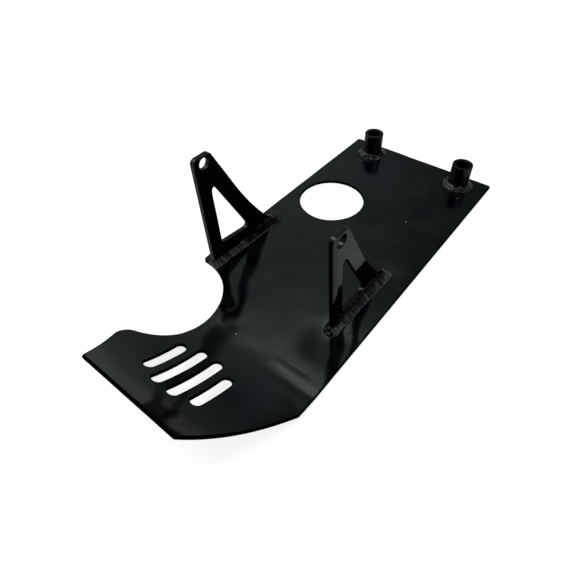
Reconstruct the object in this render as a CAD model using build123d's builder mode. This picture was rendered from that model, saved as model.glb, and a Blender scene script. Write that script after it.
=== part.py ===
import os
from math import atan, cos, degrees, sin

from build123d import *

# Motorcycle skid plate: a rolled steel sheet with two upright brackets and two rear posts welded on.
# +X points to the front of the motorcycle, +Y to its left and +Z up.
# The origin lies midway between the two rear bolt holes, on the underside of the sheet.

# Sheet, laser cut and rolled up at the front
sheet_thickness = 2.0
sheet_width = 120.0
rear_overhang = 13.0
flat_length = 223.0
roll_radius = 93.0
shoulder_run = 18.3
taper_run = 58.0
nose_width = 66.8
corner_radius = 1.5

# Oil drain hole, in the right half of the floor
drain_diameter = 48.0
drain_x = 74.0
drain_inset = 31.5

# Half-round cut-out in the right edge, which ends in a rounded horn on the tapered side
cutout_radius = 35.6
cutout_x = 214.2
cutout_inset = 3.7
cutout_rear_radius = 3.0
horn_radius = 8.0
horn_run = 48.3

# Vent slots in the rolled front, two long ones between two short ones
slot_width = 6.4
slot_pitch = 11.7
long_slot_length = 36.4
short_slot_length = 27.3
slot_row_run = 38.8
slot_row_y = 2.2

# Rear posts, cut from round tube
post_diameter = 15.0
post_bore = 10.0
post_height = 18.2
post_spacing = 77.0
post_chamfer = 0.4

# Brackets, cut from plate, the right one a little taller than the left one
bracket_thickness = 3.0
bracket_bolt_hole = 7.0
bolt_drop = 5.0
bracket_toe_x = 118.5
bracket_knee_height = 48.6
eye_corner_radius = 3.0
window_radius = 2.8
right_bracket_inset = 10.0
right_bracket_height = 79.6
right_heel_x = 178.2
right_top_x = 179.4
right_peak_x = 166.7
right_knee_x = 151.0
right_bolt_x = 171.8
right_window = [(170.1, right_bracket_height - 15.8), (168.8, 14.2), (142.8, 11.2)]
left_bracket_inset = 18.1
left_bracket_height = 73.5
left_heel_x = 174.8
left_top_x = 180.1
left_peak_x = 167.6
left_knee_x = 153.9
left_bolt_x = 172.8
left_window = [(170.9, left_bracket_height - 13.5), (166.6, 10.4), (140.8, 7.6)]

# Fillet welds, each a smooth toe under a row of overlapping puddles
weld_leg = 4.4
toe_height = 1.0
puddle_radius = 3.9
puddle_top_radius = 0.5
puddle_height = 3.0
puddle_pitch = 3.0

os.makedirs("parts", exist_ok=True)


def save(part, name):
    """Label a finished piece and write its file."""
    part.label = name
    export_step(part, f"parts/{name}.step")


def roll_plane(run):
    """Plane on the sheet's upper face, square to it, at a run along the rolled front."""
    turn = run / roll_radius
    x = flat_length - rear_overhang + roll_radius * sin(turn)
    z = sheet_thickness + roll_radius * (1 - cos(turn))
    return Plane(origin=(x, 0, z), x_dir=(cos(turn), 0, sin(turn)), z_dir=(-sin(turn), 0, cos(turn)))


# Sheet: the parallel floor and shoulder, then the tapered nose
with BuildPart() as skid_plate:
    with BuildLine(Plane.XZ):
        floor = Line((-rear_overhang, sheet_thickness), (flat_length - rear_overhang, sheet_thickness))
        shoulder = JernArc(floor @ 1, floor % 1, roll_radius, degrees(shoulder_run / roll_radius))
    make_brake_formed(sheet_thickness, sheet_width / 2)
    with BuildLine(Plane.XZ):
        JernArc(shoulder @ 1, shoulder % 1, roll_radius, degrees(taper_run / roll_radius))
    make_brake_formed(sheet_thickness, [sheet_width / 2, nose_width / 2])
    mirror(about=Plane.XZ)
    rear_corners = skid_plate.faces().sort_by(Axis.X)[0].edges().filter_by(Axis.Z)
    fillet(rear_corners, radius=corner_radius)

    # The edge cut-out closes outside the sheet, along a line that touches the tapered side at the horn
    right_edge_y = -sheet_width / 2
    taper_slope = (sheet_width - nose_width) / 2 / taper_run
    horn_plane = roll_plane(horn_run)
    horn_touch = Vector(horn_plane.origin.X, right_edge_y + (horn_run - shoulder_run) * taper_slope)
    horn_line = Vector(horn_plane.x_dir.X, taper_slope)
    with BuildSketch() as edge_cut:
        with BuildLine():
            front = horn_touch + horn_line * cutout_radius
            back = horn_touch - horn_line * ((horn_touch.Y - right_edge_y) / horn_line.Y)
            rear = Vector(cutout_x - 2 * cutout_radius, right_edge_y)
            outside = Vector(0, -cutout_radius)
            Polyline(rear, back, front, front + outside, rear + outside, close=True)
        make_face()
        with Locations((cutout_x, right_edge_y + cutout_inset)):
            Circle(cutout_radius)
        fillet(edge_cut.vertices().sort_by_distance(horn_touch)[0], radius=horn_radius)
        rear_lip = (cutout_x - cutout_radius, right_edge_y)
        fillet(edge_cut.vertices().sort_by_distance(rear_lip)[0], radius=cutout_rear_radius)
    extrude(amount=roll_radius, mode=Mode.SUBTRACT)

    # Drain hole and the bolt holes under the posts
    with BuildSketch():
        with Locations((drain_x, right_edge_y + drain_inset)):
            Circle(drain_diameter / 2)
        with GridLocations(0, post_spacing, 1, 2):
            Circle(post_bore / 2)
    extrude(amount=sheet_thickness, mode=Mode.SUBTRACT)

    # Vent slots, cut square to the sheet at the middle of their row
    with BuildSketch(roll_plane(slot_row_run)):
        with Locations((0, slot_row_y)):
            with GridLocations(0, slot_pitch, 1, 2):
                SlotOverall(long_slot_length, slot_width)
            with GridLocations(0, 3 * slot_pitch, 1, 2):
                SlotOverall(short_slot_length, slot_width)
    extrude(amount=slot_width, both=True, mode=Mode.SUBTRACT)
save(skid_plate.part, "skid_plate")


def weld(foot, welded):
    """Fillet weld right round the foot of a piece, which stops at the edge cut-out."""
    edge = foot.wire()
    puddle_count = round(edge.length / puddle_pitch)
    puddles = [edge @ (step / puddle_count) for step in range(puddle_count)]
    with BuildPart() as bead:
        with BuildSketch(Plane.XY.offset(sheet_thickness)):
            add(foot)
            offset(amount=weld_leg)
        extrude(amount=toe_height, taper=degrees(atan((weld_leg - puddle_radius) / toe_height)))
        with BuildSketch(Plane.XY.offset(sheet_thickness + toe_height)):
            add(foot)
            with Locations(*puddles):
                Circle(puddle_radius)
        slope = (puddle_radius - puddle_top_radius) / puddle_height
        extrude(amount=puddle_height, taper=degrees(atan(slope)))
        add(welded, mode=Mode.SUBTRACT)
        extrude(edge_cut.sketch, amount=roll_radius, mode=Mode.SUBTRACT)
    return bead.part


def bracket(side_y, height, heel_x, top_x, peak_x, knee_x, bolt_x, window):
    """Upright plate with a bolt eye, a three-cornered window and a rear edge that sweeps out to the toe."""
    with BuildPart() as upright:
        with BuildSketch(Plane(origin=(0, side_y, sheet_thickness), x_dir=(1, 0, 0), z_dir=(0, -1, 0))):
            with BuildLine():
                toe = Vector(bracket_toe_x, 0)
                knee = Vector(knee_x, bracket_knee_height)
                peak = Vector(peak_x, height)
                Polyline(toe, (heel_x, 0), (top_x, height), peak, knee)
                TangentArc(knee, toe, tangent=knee - peak)
            make_face()
            with BuildSketch(mode=Mode.PRIVATE) as opening:
                with BuildLine():
                    Polyline(window, close=True)
                make_face()
                fillet(opening.vertices(), radius=window_radius)
            add(opening.sketch, mode=Mode.SUBTRACT)
            with Locations((bolt_x, height - bolt_drop)):
                Circle(bracket_bolt_hole / 2, mode=Mode.SUBTRACT)
        extrude(amount=bracket_thickness / 2, both=True)
        eye_corners = upright.faces().sort_by(Axis.Z)[-1].edges().filter_by(Axis.Y)
        fillet(eye_corners, radius=eye_corner_radius)
    return upright.part


# Brackets, each welded round the rectangle of its foot
right_bracket_y = right_bracket_inset - sheet_width / 2
left_bracket_y = sheet_width / 2 - left_bracket_inset
right_bracket = bracket(
    right_bracket_y,
    right_bracket_height,
    right_heel_x,
    right_top_x,
    right_peak_x,
    right_knee_x,
    right_bolt_x,
    right_window,
)
left_bracket = bracket(
    left_bracket_y,
    left_bracket_height,
    left_heel_x,
    left_top_x,
    left_peak_x,
    left_knee_x,
    left_bolt_x,
    left_window,
)
for side, part, side_y, heel_x in (
    ("right", right_bracket, right_bracket_y, right_heel_x),
    ("left", left_bracket, left_bracket_y, left_heel_x),
):
    save(part, f"{side}_bracket")
    with BuildSketch() as foot:
        with Locations(((bracket_toe_x + heel_x) / 2, side_y)):
            Rectangle(heel_x - bracket_toe_x, bracket_thickness)
    save(weld(foot.sketch, part), f"{side}_bracket_weld")

# Rear posts, open tubes over the bolt holes, each welded round its outside
standing = (Align.CENTER, Align.CENTER, Align.MIN)
for side, side_y in (("right", -post_spacing / 2), ("left", post_spacing / 2)):
    post_plane = Plane(origin=(0, side_y, sheet_thickness))
    with BuildPart(post_plane) as rod:
        Cylinder(post_diameter / 2, post_height, align=standing)
    with BuildPart(post_plane) as post:
        Cylinder(post_diameter / 2, post_height, align=standing)
        Cylinder(post_bore / 2, post_height, align=standing, mode=Mode.SUBTRACT)
        chamfer(post.faces().sort_by(Axis.Z)[-1].edges(), length=post_chamfer)
    save(post.part, f"{side}_post")
    with BuildSketch() as foot:
        with Locations((0, side_y)):
            Circle(post_diameter / 2)
    save(weld(foot.sketch, rod.part), f"{side}_post_weld")
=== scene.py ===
# %% [markdown]
# # Motorcycle skid plate
# The real object is one weldment: a sheet of steel that was cut flat and then rolled up at its front, two
# upright brackets and two short tubes. All of it was sprayed gloss black after welding. Black gloss shows
# mostly what it reflects, so clean curved surfaces, rounded rims and a plain studio matter more than colour.
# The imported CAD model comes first. It fixes each size and place, and every piece below is set against it.

# %% Load the frame
from math import atan2, ceil, cos, exp, pi, radians, sin, sqrt, tan

import bmesh
import bpy
from mathutils import Matrix, Vector, noise


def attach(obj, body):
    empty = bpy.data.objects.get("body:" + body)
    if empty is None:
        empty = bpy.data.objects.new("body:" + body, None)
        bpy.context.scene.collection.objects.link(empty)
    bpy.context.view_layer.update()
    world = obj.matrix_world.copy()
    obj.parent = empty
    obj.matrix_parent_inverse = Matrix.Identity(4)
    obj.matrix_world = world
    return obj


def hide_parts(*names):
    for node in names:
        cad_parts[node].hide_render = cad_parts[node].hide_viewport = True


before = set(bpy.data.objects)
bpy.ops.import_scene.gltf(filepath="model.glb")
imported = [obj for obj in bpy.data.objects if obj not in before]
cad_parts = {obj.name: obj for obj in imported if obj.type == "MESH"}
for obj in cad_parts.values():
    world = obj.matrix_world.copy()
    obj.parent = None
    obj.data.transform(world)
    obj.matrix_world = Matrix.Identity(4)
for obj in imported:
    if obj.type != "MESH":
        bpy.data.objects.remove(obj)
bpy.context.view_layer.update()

# %% [markdown]
# ## Camera
# A camera is solved from a picture's straight edges and round holes, and what comes out is written here as
# real values: where it stood, the point it looked at, how far it was tipped, and how wide it saw. A small
# shift puts the middle of the lens where the picture had it.

# %% Camera
MM = 0.001
PICTURE_PIXELS = 570
SENSOR_WIDTH = 36.0
focal_pixels = 458.28
lens_middle_pixels = (289.66, 278.35)
camera_place = Vector((310.05, 126.34, 215.70)) * MM
camera_aim = Vector((157.19, -2.77, 2.0)) * MM
camera_tip = radians(2.13)

camera = bpy.data.objects.new("camera", bpy.data.cameras.new("camera"))
bpy.context.scene.collection.objects.link(camera)
bpy.context.scene.camera = camera
camera.data.sensor_width = SENSOR_WIDTH
camera.data.lens = focal_pixels / PICTURE_PIXELS * SENSOR_WIDTH
camera.data.shift_x = (PICTURE_PIXELS / 2 - lens_middle_pixels[0]) / PICTURE_PIXELS
camera.data.shift_y = (lens_middle_pixels[1] - PICTURE_PIXELS / 2) / PICTURE_PIXELS
camera.data.clip_start = 0.01
turn = (camera_aim - camera_place).to_track_quat("-Z", "Y").to_matrix().to_4x4()
camera.matrix_world = Matrix.Translation(camera_place) @ turn @ Matrix.Rotation(-camera_tip, 4, "Z")
print("lens:", round(camera.data.lens, 2), "mm")

# %% [markdown]
# ## Colours and nodes
# Paint colours are written as the hex values that a picture shows, and one function turns them to the linear
# values that Blender works with. One more function adds any node, with its settings and its links. Two
# short ones lean on it for what comes up often: a value carried to a new range, and a mix of two colours.

# %% Helpers for materials
def linear(hex_colour):
    """Turn an sRGB hex colour into linear red, green, blue and alpha."""
    shares = [int(hex_colour[i:i + 2], 16) / 255 for i in (1, 3, 5)]
    return [s / 12.92 if s <= 0.04045 else ((s + 0.055) / 1.055) ** 2.4 for s in shares] + [1.0]


def add_node(tree, kind, inputs=None, **settings):
    """Add a node with its settings, and give each named input a value or a link."""
    node = tree.nodes.new(kind)
    for name, value in settings.items():
        setattr(node, name, value)
    for name, value in (inputs or {}).items():
        if isinstance(value, bpy.types.NodeSocket):
            tree.links.new(value, node.inputs[name])
        else:
            node.inputs[name].default_value = value
    return node


def new_range(tree, value, low, high, start=0.0, end=1.0, **settings):
    """Carry the part of a value between two limits over to a new range."""
    return add_node(tree, "ShaderNodeMapRange", {
        "Value": value, "From Min": low, "From Max": high, "To Min": start, "To Max": end},
        **settings).outputs["Result"]


def mixed(tree, share, one, other):
    """Colour somewhere between two colours."""
    return add_node(tree, "ShaderNodeMix", {"Factor": share, "A": one, "B": other},
                    data_type="RGBA").outputs["Result"]


# %% [markdown]
# ## Black paint
# The finish is a sprayed gloss enamel over mild steel. To the eye it is nearly black, with soft mirror
# images that wander a little, because the film has a fine orange peel about a millimetre across. Dust from
# handling lies on it in slightly duller patches. Their greenish and bluish tints are painted reflection:
# they stand in for tinted reflections, not for a colour that the dusty film has.

# %% Paint
DULLER = 1.35
DULL_LIMITS = (0.35, 0.7)
# Limits of the duller patches, which also carry the painted reflection tints in their colour.
DUST_AND_REFLECTION_TINT_LIMITS = (0.35, 0.65)
TINT_LIMITS = (0.42, 0.58)
TINT_STRETCH = 1.7


def black_enamel(name, colour, dust_and_reflection_tints, roughness, peel_depth, peel_size=1.1, patch_size=26.0,
                 gloss_ior=1.5):
    """Sprayed enamel with duller dusty patches in two tints, which are painted reflection tints. Sizes are in
    mm, peel_depth is the depth of its orange peel.
    """
    paint = bpy.data.materials.new(name)
    paint.use_nodes = True
    tree = paint.node_tree
    shader = tree.nodes["Principled BSDF"]
    where = add_node(tree, "ShaderNodeTexCoord").outputs["Object"]

    def mottled(size, detail):
        """Soft noise with features of about this size in mm."""
        return add_node(tree, "ShaderNodeTexNoise", {
            "Vector": where, "Scale": 1 / (size * MM), "Detail": detail}).outputs["Fac"]

    patches = mottled(patch_size, 4.0)
    dull = new_range(tree, patches, *DULL_LIMITS, roughness, roughness * DULLER)
    # Painted reflection: the patches' colour is mixed from two tints that stand in for tinted reflections.
    tint = new_range(tree, mottled(TINT_STRETCH * patch_size, 3.0), *TINT_LIMITS)
    dust_with_painted_tint = mixed(tree, tint, linear(dust_and_reflection_tints[0]), linear(dust_and_reflection_tints[1]))
    film = mixed(tree, new_range(tree, patches, *DUST_AND_REFLECTION_TINT_LIMITS), linear(colour), dust_with_painted_tint)
    peel = add_node(tree, "ShaderNodeBump", {
        "Height": mottled(peel_size, 2.0), "Distance": peel_depth * MM, "Strength": 1.0})
    tree.links.new(dull, shader.inputs["Roughness"])
    tree.links.new(film, shader.inputs["Base Color"])
    tree.links.new(peel.outputs["Normal"], shader.inputs["Normal"])
    shader.inputs["IOR"].default_value = gloss_ior
    return paint


# %% [markdown]
# Sheet, brackets, tubes and welds were sprayed together, and differ in how thick the paint lies. Cut edges
# hold little of it, so they get a thin dull film of their own, which draws a dark line round each shape.

# %% One paint for each kind of surface
# The greenish and bluish patch tints of the sheet are painted reflection tints.
sheet_paint = black_enamel(
    "black_enamel_on_sheet", "#010202", ("#10160f", "#060a16"), roughness=0.1, peel_depth=0.002)
edge_paint = black_enamel(
    "thin_enamel_on_cut_edges", "#000000", ("#010101", "#010101"), roughness=0.5, peel_depth=0.002,
    gloss_ior=1.07)
bracket_paint = black_enamel(
    "black_enamel_on_brackets", "#000000", ("#020202", "#020203"), roughness=0.05, peel_depth=0.001)
tube_paint = black_enamel(
    "black_enamel_on_tubes", "#000000", ("#020202", "#020203"), roughness=0.07, peel_depth=0.002,
    gloss_ior=1.42)
weld_paint = black_enamel(
    "black_enamel_on_welds", "#000000", ("#050605", "#040506"), roughness=0.13, peel_depth=0.012,
    peel_size=0.7, patch_size=5.0)
print("paints:", [m.name for m in (sheet_paint, edge_paint, bracket_paint, tube_paint, weld_paint)])

# %% [markdown]
# ## Drawing outlines
# A laser cuts outlines, so each flat piece starts as one: a few points, arcs swept with spin, and corners
# rounded with a vertex bevel. The bevel's offset runs along the two edges, so it is worked out from the
# corner's angle to give the wanted radius. Shapes are drawn in mm and made metres when a piece is finished.

# %% Outline helpers
def heading(direction):
    """Angle of a flat direction."""
    return atan2(direction.y, direction.x)


def arc(bm, start, centre, sweep, steps):
    """Sweep an outline's last point through an arc, and return the new last point."""
    swept = bmesh.ops.spin(
        bm, geom=[start], cent=(*centre, 0), axis=(0, 0, 1), angle=sweep, steps=steps)
    return next(item for item in swept["geom_last"] if isinstance(item, bmesh.types.BMVert))


def line_on(bm, last, places):
    """Carry an outline on through straight runs, and return its new points."""
    made = []
    for place in places:
        point = bm.verts.new((*place, 0))
        if last:
            bm.edges.new((last, point))
        made.append(point)
        last = point
    return made


def round_corner(bm, corner, radius, segments=6):
    """Round one corner of an outline."""
    one, other = [edge.other_vert(corner).co - corner.co for edge in corner.link_edges]
    offset = radius / tan(one.angle(other) / 2)
    bmesh.ops.bevel(bm, geom=[corner], offset=offset, offset_type="OFFSET", segments=segments,
                    profile=0.5, affect="VERTICES", material=-1)


def slot(bm, x, y, length, width):
    """Long hole with round ends, along X."""
    half, radius = (length - width) / 2, width / 2
    front = bm.verts.new((x + half, y - radius, 0))
    rear = bm.verts.new((x - half, y + radius, 0))
    bm.edges.new((arc(bm, front, (x + half, y), pi, 14), rear))
    bm.edges.new((arc(bm, rear, (x - half, y), pi, 14), front))


# %% [markdown]
# ## Sheet outline
# The sheet was cut flat, so its outline is drawn flat too, with lengths measured along the metal. The
# cut-out is one arc. A small arc leads into it from the straight edge, and a larger one leads out of it
# over the horn to the tapered side. Both touch the big arc, so their centres lie at the sum of the radii.

# %% Sheet sizes and centres of the arcs
sheet_thickness = 2.0
half_width = 60.0
rear_x = -13.0
bend_x = 210.0
roll_radius = 93.0
shoulder_x = bend_x + 18.3
nose_x = shoulder_x + 58.0
nose_half_width = 33.4
rear_corner_radius = 1.5
nose_corner_radius = 1.0
cutout_centre = Vector((214.5, -56.4))
cutout_radius = 35.9
lip_radius = 3.0
horn_radius = 8.0

lip_drop = cutout_centre.y + half_width - lip_radius
lip_centre = Vector((
    cutout_centre.x - sqrt((cutout_radius + lip_radius) ** 2 - lip_drop ** 2), lip_radius - half_width))
side_start = Vector((shoulder_x, -half_width))
side_line = (Vector((nose_x, -nose_half_width)) - side_start).normalized()
side_inward = Vector((-side_line.y, side_line.x))
reach = side_start + side_inward * horn_radius - cutout_centre
along = reach.dot(side_line)
run = sqrt(along ** 2 - reach.length_squared + (cutout_radius + horn_radius) ** 2) - along
horn_centre = side_start + side_inward * horn_radius + side_line * run
print("horn arc is centred at", [round(c, 1) for c in horn_centre])

# %% [markdown]
# Now the outline can be drawn in one go, round from the straight edge through the three arcs. How far each
# arc turns follows from the headings of the lines that join the centres.

# %% Draw the outline
lip_turn = heading(cutout_centre - lip_centre) + pi / 2
cutout_turn = heading(horn_centre - cutout_centre) - (heading(cutout_centre - lip_centre) + pi)
horn_turn = (heading(-side_inward) - heading(cutout_centre - horn_centre)) % (2 * pi)

sheet = bmesh.new()
start = sheet.verts.new((lip_centre.x, -half_width, 0))
last = arc(sheet, start, lip_centre, lip_turn, 8)
last = arc(sheet, last, cutout_centre, cutout_turn, 90)
last = arc(sheet, last, horn_centre, horn_turn, 16)
nose_right, nose_left, shoulder, rear_left, rear_right = line_on(sheet, last, (
    (nose_x, -nose_half_width), (nose_x, nose_half_width), (shoulder_x, half_width),
    (rear_x, half_width), (rear_x, -half_width)))
sheet.edges.new((rear_right, start))
for corner in (nose_right, nose_left):
    round_corner(sheet, corner, nose_corner_radius)
for corner in (rear_left, rear_right):
    round_corner(sheet, corner, rear_corner_radius)
print("outline points:", len(sheet.verts))

# %% [markdown]
# ## Holes in the sheet
# The drain hole and the two bolt holes are plain circles. The four vent slots stand in one row, two long
# ones between two short ones, and in the flat sheet they are simply straight slots.

# %% Holes
drain_place = (74.0, -28.5)
drain_radius = 24.0
post_y = 38.5
bore_radius = 5.0
slot_row_x = bend_x + 38.8
slot_row_y = 2.2
slot_pitch = 11.7
slot_width = 6.4
long_slot = 36.4
short_slot = 27.3

for place, radius, segments in (
        (drain_place, drain_radius, 128), ((0, post_y), bore_radius, 48), ((0, -post_y), bore_radius, 48)):
    bmesh.ops.create_circle(sheet, radius=radius, segments=segments, matrix=Matrix.Translation((*place, 0)))
for step, length in ((-1.5, short_slot), (-0.5, long_slot), (0.5, long_slot), (1.5, short_slot)):
    slot(sheet, slot_row_x, slot_row_y + step * slot_pitch, length, slot_width)
bmesh.ops.triangle_fill(sheet, use_beauty=True, edges=sheet.edges[:], normal=(0, 0, 1))
print("filled faces:", len(sheet.faces))

# %% [markdown]
# ## From outline to plate
# A filled outline becomes a plate in two moves. One extrusion gives it thickness. Then each flat side is
# inset a few times while it is lifted, along a quarter of a circle, which leaves a rounded rim, because
# deburring takes the knife edge off real rims. One more inset leaves a narrow band beside the rim. Paint
# pulls back from an edge, so the walls, the rims and that band take a second material.

# %% Thicken
def thicken(bm, thickness, rim, band, steps=3):
    """Make a filled outline a plate with rounded rims, and mark its walls and a band beside them as edge."""
    lower = bm.faces[:]
    raised = bmesh.ops.extrude_face_region(bm, geom=lower)["geom"]
    upper = [item for item in raised if isinstance(item, bmesh.types.BMFace)]
    upper_points = list({point for face in upper for point in face.verts})
    bmesh.ops.translate(bm, verts=upper_points, vec=(0, 0, thickness - 2 * rim))
    bmesh.ops.recalc_face_normals(bm, faces=bm.faces[:])
    for side, faces in ((1, upper), (-1, lower)):
        for step in range(steps):
            low, high = [pi / 2 * (step + more) / steps for more in (0, 1)]
            bmesh.ops.inset_region(
                bm, faces=faces, thickness=rim * (cos(low) - cos(high)), use_boundary=True,
                use_even_offset=True)
            points = list({point for face in faces for point in face.verts})
            bmesh.ops.translate(bm, verts=points, vec=(0, 0, side * rim * (sin(high) - sin(low))))
        bmesh.ops.inset_region(bm, faces=faces, thickness=band, use_boundary=True, use_even_offset=True)
    for face in bm.faces:
        face.material_index = 1
    for face in upper + lower:
        face.material_index = 0
    bmesh.ops.translate(bm, verts=bm.verts, vec=(0, 0, rim))
    print("plate faces:", len(bm.faces), "open edges:", sum(not edge.is_manifold for edge in bm.edges))


# %% [markdown]
# Every piece is finished in the same way. It is scaled to metres, gets its paint, rides on the one body,
# and takes the place of its CAD node. A modifier weights the normals by face size, so flat sides look flat
# right up to their rounded rims.

# %% Finish a piece
def finish_piece(bm, name, paint, node, edge=None):
    """Make a shape that was drawn in mm a piece in metres, and let it stand for its CAD node."""
    bmesh.ops.scale(bm, verts=bm.verts, vec=(MM, MM, MM))
    bmesh.ops.recalc_face_normals(bm, faces=bm.faces[:])
    mesh = bpy.data.meshes.new(name)
    bm.to_mesh(mesh)
    bm.free()
    mesh.shade_smooth()
    mesh.materials.append(paint)
    mesh.materials.append(edge or paint)
    piece = bpy.data.objects.new(name, mesh)
    bpy.context.scene.collection.objects.link(piece)
    evener = piece.modifiers.new("flat_sides_stay_flat", "WEIGHTED_NORMAL")
    evener.keep_sharp = True
    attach(piece, "root")
    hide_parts(node)
    size = [round(side / MM, 1) for side in piece.dimensions]
    print(name, "size in mm:", size, "faces:", len(mesh.polygons))


# %% [markdown]
# ## Rolling the front
# To bend a flat sheet in Blender, it first needs lines to bend along, so it is sliced into strips. Then
# each point that lies past the bend line is carried round the roll's axis, which stands above the sheet. A
# point's height above the underside sets its radius, so cut walls stay square.

# %% Slice and roll
axis_height = sheet_thickness + roll_radius


def slice_across(bm, axis, places):
    """Cut a shape with planes square to one axis."""
    for place in places:
        geometry = bm.verts[:] + bm.edges[:] + bm.faces[:]
        square = Vector((0, 0, 0))
        square[axis] = 1
        bmesh.ops.bisect_plane(bm, geom=geometry, dist=1e-5, plane_co=square * place, plane_no=square)


def rolled(place):
    """Where a point of the flat sheet lies once the front is rolled up."""
    if place.x <= bend_x:
        return place
    angle, radius = (place.x - bend_x) / roll_radius, axis_height - place.z
    return Vector((bend_x + radius * sin(angle), place.y, axis_height - radius * cos(angle)))


print("the roll's axis stands", axis_height, "mm above the underside")

# %% [markdown]
# ## A sheet that isn't quite flat
# Welding and rolling leave a sheet a little uneven, and black gloss shows it at once. What adds up to it:
# - long soft waves, each about half as long as the one before and much lower, calmer at the bend
# - a fine unrest in front of the drain hole
# - dips beside the welds, where their heat pulled the metal
# - two marks of the press across the left half of the bend, deepest towards the left edge
# - a shallow dish beside the cut-out, which spreads the mirror image of the right bracket
# - three long scrapes.

# %% Sizes of the unevenness
waves = ((0.3, 22.0), (0.08, 11.0), (0.02, 6.0))
calm_place, calm_reach, calmness = (213, -9), (14, 10), 0.8
unrest_place, unrest_reach, unrest_height, unrest_length = (195, -22), 30, 0.06, 9
weld_dips = (
    (180.5, 42.5, 1.55, 11.3), (193.0, 41.0, 0.4, 9.0), (118.0, 43.0, 0.4, 8.0), (178.0, -49.0, 0.4, 8.0),
    (115.0, -51.0, 0.8, 7.0), (0.0, 38.5, 0.7, 12.0), (0.0, -38.5, 0.7, 12.0))
runs_off_the_edge = (half_width + 1, half_width)
press_marks = (
    (0.34, (210, 215.5, 221), (27.5, 28.5), runs_off_the_edge),
    (0.26, (197, 206.8, 209.5), (25.5, 28), (57, 46)))
lightest_press, full_press, press_side = 0.42, 1.0, (30, 50)
press_unrest, press_unrest_lengths = 0.35, (30, 6)
dish_side, dish_run, dish_end_run = -3, 9, 5
dish_curve, dish_slope = 0.0029, 0.052
dish_rear, dish_front = (196, 204), (232, 224)
scrapes = ((19.2, 164.0, 184.0, 0.9, 0.09), (17.8, 211.0, 219.0, 0.8, 0.08), (31.75, 76.0, 98.0, 0.6, 0.04))
scrape_end = 4
print("unevenness:", len(weld_dips), "dips,", len(press_marks), "press marks,", len(scrapes), "scrapes")

# %% [markdown]
# Each of these is a simple curve, and their sum says how far the upper face stands off at a point. It is
# added before the roll, so it is always square to the sheet. The underside and the outline stay put.

# %% How far the upper face stands off
def part_way(value, start, end):
    """How far a value has come from one place to another, from 0 to 1."""
    return min(1, max(0, (value - start) / (end - start)))


def eased(share):
    """The same share, with a soft start and a soft end."""
    return share * share * (3 - 2 * share)


def dish(x, y):
    """Rise of the sheet beside the cut-out: it steepens evenly, then levels out."""
    inner = min(max(0, dish_side - y), dish_run)
    outer = min(max(0, dish_side - dish_run - y), dish_end_run)
    rise = dish_curve * inner ** 2 + dish_slope * outer - dish_slope / (2 * dish_end_run) * outer ** 2
    return rise * eased(part_way(x, *dish_rear)) * eased(part_way(x, *dish_front))


def warp(place):
    """How far the sheet's upper face stands off at a point."""
    x, y = place.x, place.y
    spot = Vector((x, y, 0))
    calm = 1 - calmness * exp(
        -((x - calm_place[0]) / calm_reach[0]) ** 2 - ((y - calm_place[1]) / calm_reach[1]) ** 2)
    stand = calm * sum(height * noise.noise(spot / length) for height, length in waves)
    for dip_x, dip_y, depth, reach in weld_dips:
        stand -= depth * exp(-((x - dip_x) ** 2 + (y - dip_y) ** 2) / reach ** 2)
    restless = exp(-((x - unrest_place[0]) ** 2 + (y - unrest_place[1]) ** 2) / unrest_reach ** 2)
    stand += unrest_height * restless * noise.noise(spot / unrest_length + Vector((0, 0, 7)))
    pressed = lightest_press + (full_press - lightest_press) * part_way(y, *press_side)
    long, wide = press_unrest_lengths
    pressed *= 1 + press_unrest * noise.noise(Vector((x / long, y / wide, 4)))
    for depth, (rear, deepest, front), inner_end, outer_end in press_marks:
        across = eased(part_way(x, rear, deepest)) * eased(part_way(x, front, deepest))
        stand -= depth * pressed * across * part_way(y, *inner_end) * part_way(y, *outer_end)
    stand += dish(x, y)
    for middle, rear, front, width, depth in scrapes:
        length = part_way(x, rear, rear + scrape_end) * part_way(x, front, front - scrape_end)
        stand -= depth * length * exp(-((y - middle) / width) ** 2)
    return stand


# %% [markdown]
# ## The finished sheet
# The strips are a millimetre wide in the rolled part, which reads as a smooth roll, and two millimetres on
# the floor. Extra slices follow the press marks and the scrapes, so those stay crisp.

# %% Make the sheet
rim_radius = 0.3
edge_band = 0.35
roll_slice = 1.0
floor_slice = 2.0
extra_cross_slices = (206.8, 207.6, 208.4, 210.5, 215.5)
extra_long_slices = (17.25, 17.75, 18.25, 18.75, 19.25, 19.75, 20.25, 27.5, 28.5, 31.25, 31.75, 32.25)

thicken(sheet, sheet_thickness, rim_radius, edge_band)
slice_across(sheet, 0, [bend_x + roll_slice * step for step in range(ceil((nose_x - bend_x) / roll_slice))])
slice_across(sheet, 0, [
    rear_x + floor_slice * step for step in range(1, int((bend_x - rear_x) / floor_slice))])
half_slices = int(half_width / floor_slice)
slice_across(sheet, 1, [floor_slice * step for step in range(1 - half_slices, half_slices)])
slice_across(sheet, 0, extra_cross_slices)
slice_across(sheet, 1, extra_long_slices)
for point in sheet.verts:
    if point.co.z > sheet_thickness / 2:
        point.co.z += warp(point.co)
    point.co = rolled(point.co)
finish_piece(sheet, "rolled_sheet", sheet_paint, "skid_plate", edge_paint)

# %% [markdown]
# Where the paint has chipped, a flake of pale primer shows. Three chips are big enough to see, each a ball
# pressed flat that stands a little out of the sheet.

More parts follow.
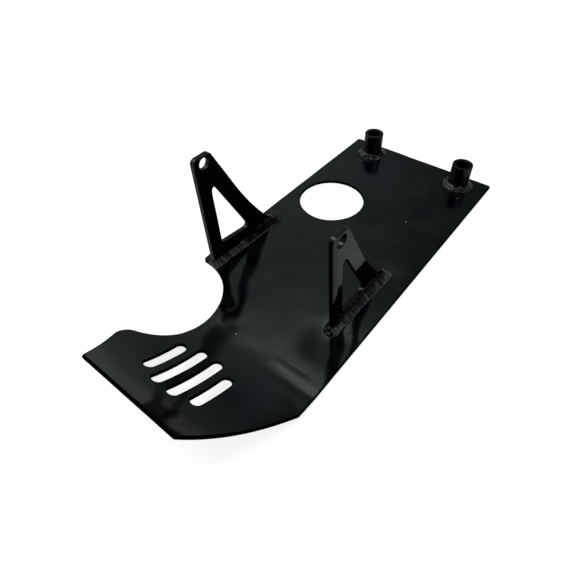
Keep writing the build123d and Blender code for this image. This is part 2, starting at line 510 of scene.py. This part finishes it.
# %% Paint chips
chip_flatness = 0.25
chips = bmesh.new()
for x, y, radius in ((63.7, 29.0, 0.45), (210.2, 0.0, 0.4), (16.5, 46.4, 0.4)):
    place = Vector((x, y, sheet_thickness))
    place = rolled(place + Vector((0, 0, warp(place))))
    flake = Matrix.Translation(place) @ Matrix.Diagonal((1, 1, chip_flatness, 1))
    bmesh.ops.create_icosphere(chips, subdivisions=2, radius=radius, matrix=flake)
chip_paint = black_enamel(
    "bare_primer_in_chips", "#a9adab", ("#c4c8c6", "#c4c8c6"), roughness=0.5, peel_depth=0.002)
finish_piece(chips, "paint_chips", chip_paint, "skid_plate")

# %% [markdown]
# ## Brackets
# Each bracket is cut from thicker plate: a straight front edge, a rounded eye at the top, and a rear edge
# that comes straight down from the eye and then sweeps out to the toe in one arc. The arc touches the
# straight part, so its radius follows from the chord and the angle between them. The window is a triangle
# with rounded corners.

# %% Bracket outline
bracket_thickness = 3.0
bracket_toe_x = 118.5
knee_height = 48.6
eye_corner_radius = 3.0
window_corner_radius = 2.8
eye_radius = 3.5
eye_drop = 5.0


def bracket_outline(height, heel_x, top_x, peak_x, knee_x, eye_x, window):
    """Filled outline of a bracket that lies flat."""
    bm = bmesh.new()
    toe, knee, peak = [
        Vector(place) for place in ((bracket_toe_x, 0), (knee_x, knee_height), (peak_x, height))]
    down, chord = (knee - peak).normalized(), toe - knee
    lean = abs(down.angle_signed(chord))
    sweep_radius = chord.length / (2 * sin(lean))
    sweep_centre = knee + Vector((down.y, -down.x)) * sweep_radius
    outline = line_on(bm, None, (toe, (heel_x, 0), (top_x, height), peak, knee))
    end = arc(bm, outline[-1], sweep_centre, -2 * lean, 24)
    bmesh.ops.pointmerge(bm, verts=[outline[0], end], merge_co=outline[0].co)
    corners = line_on(bm, None, window)
    bm.edges.new((corners[-1], corners[0]))
    for corner in outline[2:4]:
        round_corner(bm, corner, eye_corner_radius, 8)
    for corner in corners:
        round_corner(bm, corner, window_corner_radius, 8)
    bmesh.ops.create_circle(
        bm, radius=eye_radius, segments=48, matrix=Matrix.Translation((eye_x, height - eye_drop, 0)))
    bmesh.ops.triangle_fill(bm, use_beauty=True, edges=bm.edges[:], normal=(0, 0, 1))
    return bm


# %% [markdown]
# The outline is thickened and stood up on the sheet. Its outer face gets a faint wave, and on the left
# bracket it rolls over towards the front edge, as sheared plate does. The paint is thin only round the eye,
# on the overhanging wall of the window, and on the front wall of the left bracket.

# %% Brackets
bracket_rim = 0.2
bracket_edge_band = 0.25
face_slice = 2.5
face_wave = 0.07
face_wave_length = 11
roll_over_reach = 4.5
roll_over_slices = 9
eye_ring_width = 0.6


def thin_paint(face, eye, roll_over):
    """Whether an edge face of a bracket keeps its thin paint."""
    by_eye = (face.calc_center_median() - eye).xy.length < eye_radius + eye_ring_width
    overhangs = face.normal.x > 0.3 and face.normal.y < -0.3
    thin_front = roll_over and face.normal.x > 0.9
    return by_eye and abs(face.normal.z) > 0.2 or overhangs or thin_front


def bracket(name, node, side_y, height, heel_x, top_x, eye_x, roll_over, **outline):
    """One upright bracket, standing on the sheet."""
    bm = bracket_outline(height=height, heel_x=heel_x, top_x=top_x, eye_x=eye_x, **outline)
    thicken(bm, bracket_thickness, bracket_rim, bracket_edge_band)
    eye = Vector((eye_x, height - eye_drop, 0))
    for face in bm.faces:
        face.material_index = int(face.material_index and thin_paint(face, eye, roll_over))
    slices_long, slices_high = ceil((top_x - bracket_toe_x) / face_slice), ceil(height / face_slice)
    slice_across(bm, 0, [bracket_toe_x + face_slice * step for step in range(1, slices_long + 1)])
    slice_across(bm, 1, [face_slice * step for step in range(1, slices_high + 1)])
    heel = Vector((heel_x, 0, 0))
    front = Vector((top_x - heel_x, height, 0)).normalized()
    rearward = Vector((-front.y, front.x, 0))
    for step in range(1, roll_over_slices + 1):
        bmesh.ops.bisect_plane(
            bm, geom=bm.verts[:] + bm.edges[:] + bm.faces[:], dist=1e-5,
            plane_co=heel + rearward * roll_over_reach * step / roll_over_slices, plane_no=rearward)
    for point in bm.verts:
        back = rearward.dot(point.co - heel)
        wave = face_wave * noise.noise(point.co / face_wave_length + Vector((0, 0, side_y)))
        if point.co.z < bracket_thickness / 2:
            point.co.z += wave + roll_over * max(0, 1 - back / roll_over_reach) ** 2
    stand_up = Matrix.Translation((0, side_y + bracket_thickness / 2, sheet_thickness)) @ Matrix.Rotation(
        pi / 2, 4, "X")
    bmesh.ops.transform(bm, matrix=stand_up, verts=bm.verts)
    finish_piece(bm, name, bracket_paint, node, edge_paint)


right_bracket_y = -50.0
left_bracket_y = 41.9
right_heel_x = 178.2
left_heel_x = 174.8
bracket("right_bracket_plate", "right_bracket", right_bracket_y, height=79.6, heel_x=right_heel_x,
        top_x=179.4, peak_x=166.7, knee_x=151.0, eye_x=171.8, roll_over=0.0,
        window=((170.1, 63.8), (168.8, 14.2), (142.8, 11.2)))
bracket("left_bracket_plate", "left_bracket", left_bracket_y, height=73.5, heel_x=left_heel_x,
        top_x=180.1, peak_x=167.6, knee_x=153.9, eye_x=172.8, roll_over=0.45,
        window=((170.9, 60.0), (166.6, 10.4), (140.8, 7.6)))

# %% [markdown]
# ## Rear posts
# The posts are lengths of round tube. A turned part is a profile spun round its axis: here the section of
# the wall, with its two upper corners eased, because a sawn tube is deburred before it is welded.

# %% Posts
post_radius = 7.5
post_height = 18.2
post_rim = 0.35


def post(name, node, side_y):
    """One tube, standing over its bolt hole."""
    bm = bmesh.new()
    wall = line_on(bm, None, (
        (bore_radius, 0), (post_radius, 0), (post_radius, post_height), (bore_radius, post_height)))
    bm.edges.new((wall[-1], wall[0]))
    for corner in wall[2:]:
        round_corner(bm, corner, post_rim, 4)
    bmesh.ops.rotate(bm, verts=bm.verts, cent=(0, 0, 0), matrix=Matrix.Rotation(pi / 2, 3, "X"))
    bmesh.ops.spin(bm, geom=bm.verts[:] + bm.edges[:], cent=(0, 0, 0), axis=(0, 0, 1),
                   angle=2 * pi, steps=72, use_merge=True)
    bmesh.ops.remove_doubles(bm, verts=bm.verts, dist=1e-4)
    bmesh.ops.translate(bm, verts=bm.verts, vec=(0, side_y, sheet_thickness))
    finish_piece(bm, name, tube_paint, node)


post("right_post_tube", "right_post", -post_y)
post("left_post_tube", "left_post", post_y)

# %% [markdown]
# ## The path of a weld
# A hand-laid fillet weld runs right round a foot. The foot of a tube is a circle. The foot of a bracket is
# narrow and long, so the path is two straight runs joined by two half circles. A corner lets the bead reach
# a little further out where a foot is square.

# %% Walk round a foot
def blend(pair, share):
    """Value between two ends."""
    return pair[0] + (pair[1] - pair[0]) * share


def foot_at(distance, half_run, radius, end_run, squareness):
    """Point on a foot's edge, the way out from it, how much further a corner reaches, and the half it is on."""
    half_way = 2 * half_run + end_run
    side, on = divmod(distance % (2 * half_way), half_way)
    corner = 1.0
    if on < 2 * half_run:
        foot, outward = Vector((on - half_run, -radius, 0)), Vector((0, -1, 0))
    else:
        angle = (on - 2 * half_run) / end_run * pi
        outward = Vector((sin(angle), -cos(angle), 0))
        foot = Vector((half_run, 0, 0)) + outward * radius
        corner = (abs(outward.x) ** squareness + abs(outward.y) ** squareness) ** (-1 / squareness)
    if side:
        foot.xy, outward.xy = -foot.xy, -outward.xy
    return foot, outward, corner, side


# %% [markdown]
# ## The face of a weld
# The weld is a row of small pools that froze one after the other, so its face is a string of crescents that
# overlap like scales: each rises slowly and drops off fast. They fade where the welder moved evenly, and
# turn into lumps where they stopped. The toe meets the sheet with a short steep facet.

# %% Ripples, lumps and section
ripple_depth = 0.24
ripple_pitch = 2.4
scale_share = 0.78
ripple_drift = 0.6
crescent_bow = 1.1
crescent_middle = 0.4
lump_height = 1.5
grain_height = 0.4
grain_size = 0.8
toe_lip = 0.2
toe_share = 0.14
toe_rise = 0.7


def ripple(run, rise, spot, strength):
    """Height of the scales at a run along the bead and a share of the way up its face."""
    pool = run / ripple_pitch + ripple_drift * noise.noise(spot / 3)
    pool = (pool - crescent_bow * (rise - crescent_middle) ** 2) % 1
    scale = pool / scale_share if pool < scale_share else (1 - pool) / (1 - scale_share)
    return ripple_depth * strength * (scale - 0.5) * sin(pi * rise)


def lumps(spot, seed, lump_size):
    """Height of rough metal: lumps of one size with grains on them."""
    lump = lump_height * noise.noise((spot + Vector((0, 0, seed))) / lump_size)
    return lump + grain_height * noise.noise(spot / grain_size)


def section(rise, leg, height, toe_run):
    """How far out and how far up a smooth bead is, at a share of the way up its face."""
    if rise < toe_share:
        return leg - toe_run * rise / toe_share, toe_lip + toe_rise * rise / toe_share
    above = (rise - toe_share) / (1 - toe_share)
    return (leg - toe_run) * (1 - above), blend((toe_lip + toe_rise, height), above)


# %% [markdown]
# A few beads of spatter lie beside each weld, half sunk in the sheet. Their places come from seeded noise,
# which gives the same ones each time.

# %% Spatter
spatter_beads = 14
smallest_bead = 0.25
bead_range = 0.3
bead_height = 0.1
stray_from_tube = 0.25
stray_from_bracket = 0.6


def spatter(bm, half_run, reach):
    """Strew beads of spatter round a foot."""
    for _ in range(spatter_beads):
        turned = noise.random_unit_vector()
        if half_run == 0:
            middle = Vector(turned.xy).normalized() * (reach * (1 + stray_from_tube * noise.random()))
        else:
            along = (2 * noise.random() - 1) * half_run
            middle = Vector((along, reach * (1 + stray_from_bracket * noise.random())))
            middle.y *= 1 if turned.x > 0 else -1
        bmesh.ops.create_icosphere(
            bm, subdivisions=2, radius=smallest_bead + bead_range * noise.random(),
            matrix=Matrix.Translation((*middle, bead_height)))


# %% [markdown]
# Melted metal lies on the sheet as it is, so low points of a weld follow its unevenness. They also have to
# stay clear of the sheet's edges, of the cut-out and of the underside.

# %% Settle on the sheet
edge_margin = 0.5
underside_margin = 0.3
follow_height = 3


def settle(place):
    """Move a weld's point with the uneven sheet, and keep it clear of the sheet's edges and underside."""
    place.z += warp(place) * max(0, 1 - (place.z - sheet_thickness) / follow_height)
    from_cutout = place.xy - cutout_centre
    if from_cutout.length < cutout_radius:
        place.xy = cutout_centre + from_cutout.normalized() * cutout_radius
    place.x = max(place.x, rear_x + edge_margin)
    place.y = max(place.y, edge_margin - half_width)
    place.z = max(place.z, underside_margin)


# %% [markdown]
# ## Welds
# A grid is the right start for a bead. Its long side runs round the foot, and its short side runs over the
# face from toe to top and back through the hidden corner, so the bead closes into a solid ring. Each grid
# point is set by how far the bead reaches and rises there, then the spatter joins it, and both settle.

# %% Weld bead
face_rows = 15
wander = 0.12
wander_length = 5
toe_wander = 0.1
toe_wander_length = 1.6
evenness = 0.85
calm_run = 10
least_lumps = 0.04
least_rise = 0.15
buried = -0.3
tucked_in = 0.4


def weld(name, node, place, half_run, radius, legs, heights, squareness, rough_spots, calm_x, seed,
         toe_run=0.42, flatness=0.0, lump_size=2.0, grain=0.24):
    """A bead right round a foot, with its reach and rise given at the rear end and at the front end.

    Its ripples fade about calm_x, and each rough spot is a place and how far its lumps spread from there.
    """
    end_run = pi * (radius + sum(legs) / 4)
    length = 4 * half_run + 2 * end_run
    bm = bmesh.new()
    bmesh.ops.create_grid(bm, x_segments=round(length / grain), y_segments=face_rows + 2, size=0.5)
    for point in bm.verts:
        distance = (point.co.x + 0.5) * length
        row = round((point.co.y + 0.5) * (face_rows + 2))
        foot, outward, corner, side = foot_at(distance, half_run, radius, end_run, squareness)
        share = foot.x / (half_run + radius)
        spot = foot + outward * 4 + Vector((0, 0, seed * 7))
        leg, height = [
            blend(pair, (share + 1) / 2) * (1 + wander * noise.noise(spot / wander_length))
            for pair in (legs, heights)]
        flatter = flatness * max(0, 1 - share ** 2) if outward.y < 0 else 0
        leg *= corner * (1 + toe_wander * noise.noise(spot / toe_wander_length)) * (1 + flatter)
        height *= 1 - flatter
        rise = max(0, (row - 1) / (face_rows - 1))
        if row in (0, face_rows + 2):
            out, up = leg, buried
        elif row == face_rows + 1:
            out, up = -tucked_in, buried
        else:
            strength = 1 - evenness * exp(-((foot.x + place[0] - calm_x) / calm_run) ** 2)
            strength *= 0.7 + noise.noise(spot / 6)
            on_face = foot + outward * leg * (1 - rise) + Vector((0, 0, height * rise))
            rough = max(exp(-((on_face.xy + Vector(place) - Vector(where)).length / reach) ** 2)
                        for *where, reach in rough_spots)
            crown = ripple(-distance if side else distance, rise, spot, strength) * (1 - 0.6 * rough)
            crown += (least_lumps + rough) * lumps(on_face, seed, lump_size) * (1 - rise ** 4)
            slant = Vector((height, leg)).normalized() * crown
            out, up = section(rise, leg, height, toe_run)
            out, up = out + slant.x, max(up + slant.y, least_rise)
        point.co = foot + outward * out + Vector((0, 0, up))
    bmesh.ops.remove_doubles(bm, verts=bm.verts, dist=1e-3)
    spatter(bm, half_run, radius + legs[0])
    bmesh.ops.translate(bm, verts=bm.verts, vec=(*place, sheet_thickness))
    for point in bm.verts:
        settle(point.co)
    finish_piece(bm, name, weld_paint, node)


# %% [markdown]
# From rear to front the given sizes change: the right bead narrows and gets higher, and the left one
# shrinks both ways. On the side that faces the other bracket, the left bead is flatter and reaches further.

# %% Lay the welds
bracket_beads = {
    "right": dict(legs=(5.0, 3.1), heights=(3.0, 4.4), calm_x=128, seed=3,
                  rough_spots=((114, -48, 4.5), (180, -50, 2.5))),
    "left": dict(legs=(4.8, 3.2), heights=(4.8, 3.2), calm_x=145, seed=8, toe_run=0.55, flatness=0.5,
                 rough_spots=((114, 43, 3.0), (178, 42, 4.0)))}

noise.seed_set(5)
for side, side_y, heel_x in (
        ("right", right_bracket_y, right_heel_x), ("left", left_bracket_y, left_heel_x)):
    foot_length = heel_x - bracket_toe_x
    weld(f"{side}_bracket_bead", f"{side}_bracket_weld", (bracket_toe_x + foot_length / 2, side_y),
         (foot_length - bracket_thickness) / 2, bracket_thickness / 2, squareness=8.0, **bracket_beads[side])
for side, side_y, seed in (("right", -post_y, 21), ("left", post_y, 34)):
    weld(f"{side}_post_bead", f"{side}_post_weld", (0, side_y), 0, post_radius, legs=(3.9, 3.9),
         heights=(3.3, 3.3), squareness=2.0, calm_x=-20, seed=seed, lump_size=3.4,
         rough_spots=((9, side_y + 3, 6.0), (4, side_y - 9, 5.0)))

# %% [markdown]
# ## Floor
# A pale seamless floor. It is a diffuse surface that takes the object's shadow, and it also shines a
# little, to the camera only, so that the background comes out white with no more light on the object.

# %% Floor
FLOOR_HALF = 3.0
FLOOR_GAP = 0.0003
FLOOR_GLOW = 0.8
floor_white = bpy.data.materials.new("white_seamless_floor")
floor_white.use_nodes = True
tree = floor_white.node_tree
tree.nodes.remove(tree.nodes["Principled BSDF"])
seen = add_node(tree, "ShaderNodeLightPath").outputs["Is Camera Ray"]
glow = add_node(tree, "ShaderNodeMath", {0: seen, 1: FLOOR_GLOW}, operation="MULTIPLY")
surface = add_node(tree, "ShaderNodeAddShader", {
    0: add_node(tree, "ShaderNodeBsdfDiffuse", {"Color": linear("#c4c4c4")}).outputs[0],
    1: add_node(tree, "ShaderNodeEmission", {
        "Color": linear("#ffffff"), "Strength": glow.outputs[0]}).outputs[0]})
tree.links.new(surface.outputs[0], tree.nodes["Material Output"].inputs["Surface"])

floor_shape = bmesh.new()
bmesh.ops.create_grid(floor_shape, x_segments=4, y_segments=4, size=FLOOR_HALF)
bmesh.ops.translate(floor_shape, verts=floor_shape.verts, vec=(0.15, 0, -FLOOR_GAP))
floor_mesh = bpy.data.meshes.new("floor")
floor_shape.to_mesh(floor_mesh)
floor_shape.free()
floor_mesh.materials.append(floor_white)
floor = bpy.data.objects.new("floor", floor_mesh)
bpy.context.scene.collection.objects.link(floor)

# %% [markdown]
# ## Studio lamp
# One square lamp on the right gives the short soft shadow.

# %% Studio lamp
lamp_place = Vector((0.3, -0.9, 1.0))
lamp_aim = Vector((0.18, 0.05, 0.0))
lamp = bpy.data.objects.new("key_softbox", bpy.data.lights.new("key_softbox", "AREA"))
lamp.data.shape = "SQUARE"
lamp.data.size = 1.2
lamp.data.energy = 4.5
lamp.location = lamp_place
lamp.rotation_euler = (lamp_aim - lamp_place).to_track_quat("-Z", "Y").to_euler()
bpy.context.scene.collection.objects.link(lamp)
print("lamp stands", round((lamp_place - lamp_aim).length, 2), "m away")

# %% [markdown]
# ## Studio walls
# Black gloss is lit by what surrounds it, so the room is built as light. Each side of it is a wall whose
# brightness follows the sine of the height that it is seen at. The wall on the right is dim low down and
# bright overhead, which gives the sheet's floor its soft grey and the rolled front its bright bands. The
# wall on the left is bright low down, for the thin lines on tubes and welds.

# %% Studio walls
WORLD_STRENGTH = 2.0
WALL_TINT = (0.9, 1.07, 1.03)
world = bpy.data.worlds.new("studio")
bpy.context.scene.world = world
world.use_nodes = True
tree = world.node_tree
outlook = add_node(tree, "ShaderNodeTexCoord").outputs["Generated"]
split = add_node(tree, "ShaderNodeSeparateXYZ", {"Vector": outlook}).outputs


def wall(stops):
    """Light of one wall of the room, by the sine of the height that it is seen at."""
    ramp = add_node(tree, "ShaderNodeValToRGB", {"Fac": split["Z"]})
    marks = ramp.color_ramp.elements
    for place, value in stops:
        mark = marks.new(place) if 0 < place < 1 else marks[-int(place)]
        mark.color = [value / WORLD_STRENGTH * share for share in WALL_TINT] + [1.0]
    return ramp.outputs["Color"]


right_wall = wall((
    (0.0, 0.24), (0.3, 0.21), (0.45, 0.2), (0.6, 0.265), (0.7, 0.29), (0.743, 0.345), (0.79, 0.46),
    (0.83, 0.72), (0.87, 1.05), (0.91, 1.4), (1.0, 1.2)))
left_wall = wall((
    (0.0, 0.9), (0.15, 0.85), (0.21, 0.13), (0.5, 0.13), (0.6, 0.1), (0.7, 0.03), (0.9, 0.03), (1.0, 0.3)))

# %% [markdown]
# The right wall fades towards the rear, by its compass bearing. The left wall has one soft window, a round
# patch about one direction. Then the two walls are joined, and the camera itself sees plain white.

# %% Join the walls
rear_fade_start, rear_fade_end, rear_light = radians(-144), radians(-163), 0.35
window_way = (0.07, 0.82, 0.57)
window_edge = (0.85, 0.95)
window_light = [0.5, 0.53, 0.52, 1.0]
walls_meet = (-0.1, 0.1)

bearing = add_node(tree, "ShaderNodeMath", {0: split["Y"], 1: split["X"]}, operation="ARCTAN2").outputs[0]
fading = new_range(tree, bearing, rear_fade_end, rear_fade_start, rear_light, 1.0)
faded = add_node(tree, "ShaderNodeVectorMath", {0: right_wall, "Scale": fading}, operation="SCALE")
to_window = add_node(tree, "ShaderNodeVectorMath", {0: outlook, 1: window_way}, operation="DOT_PRODUCT")
in_window = new_range(tree, to_window.outputs["Value"], *window_edge, interpolation_type="SMOOTHSTEP")
left_side = mixed(tree, in_window, left_wall, window_light)
lit = mixed(tree, new_range(tree, split["Y"], *walls_meet), faded.outputs["Vector"], left_side)
seen = add_node(tree, "ShaderNodeLightPath").outputs["Is Camera Ray"]
shown = mixed(tree, seen, lit, [1 / WORLD_STRENGTH] * 3 + [1.0])
background = tree.nodes["Background"]
tree.links.new(shown, background.inputs["Color"])
background.inputs["Strength"].default_value = WORLD_STRENGTH

bpy.context.scene.view_settings.view_transform = "Standard"
print("room is made of", len(tree.nodes), "nodes")
